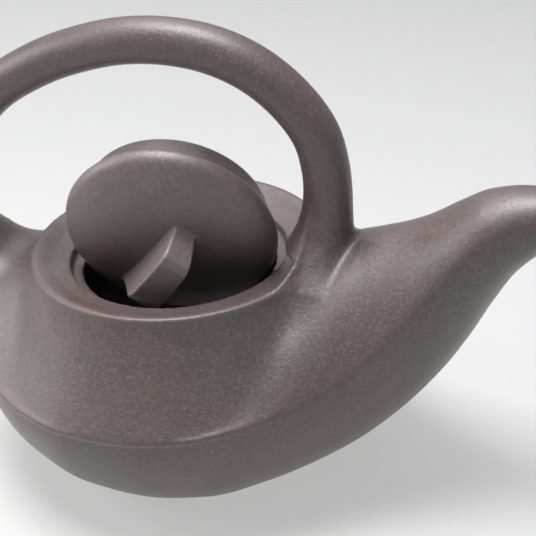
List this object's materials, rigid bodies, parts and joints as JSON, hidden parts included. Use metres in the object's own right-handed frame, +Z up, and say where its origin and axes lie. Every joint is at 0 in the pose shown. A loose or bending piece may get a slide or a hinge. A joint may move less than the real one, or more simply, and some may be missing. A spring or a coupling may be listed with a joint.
{
  "type": "top-handle teapot",
  "caption": "Unglazed clay teapot with a bar handle arched over the mouth, a drawn-out spout, a ridge round the body and a loose domed lid with a fin knob.",
  "frame": {"origin": "centre of the flat foot, under the axis of the round mouth", "axes": "+Z up, +X towards the spout, +Y to the left of the spout"},
  "size_m": [0.1735, 0.1048, 0.1224],
  "materials": {
    "dark_clay": "unglazed, satin, fine grain",
    "lid_clay": "unglazed, satin, fine grain"
  },
  "bodies": {
    "pot": {"lower_bowl": "dark_clay", "shoulder_shell": "dark_clay", "mouth_collar": "dark_clay", "spout": "dark_clay", "strainer": "dark_clay", "handle": "dark_clay"},
    "lid": {"lid_dome": "lid_clay", "lid_flange": "lid_clay", "lid_knob": "lid_clay"}
  },
  "joints": [
    {"name": "lid_lift", "type": "slide", "parent": "pot", "child": "lid", "axis": [0.0347, -0.2869, 0.9573], "range_m": [0, 0.095]}
  ]
}
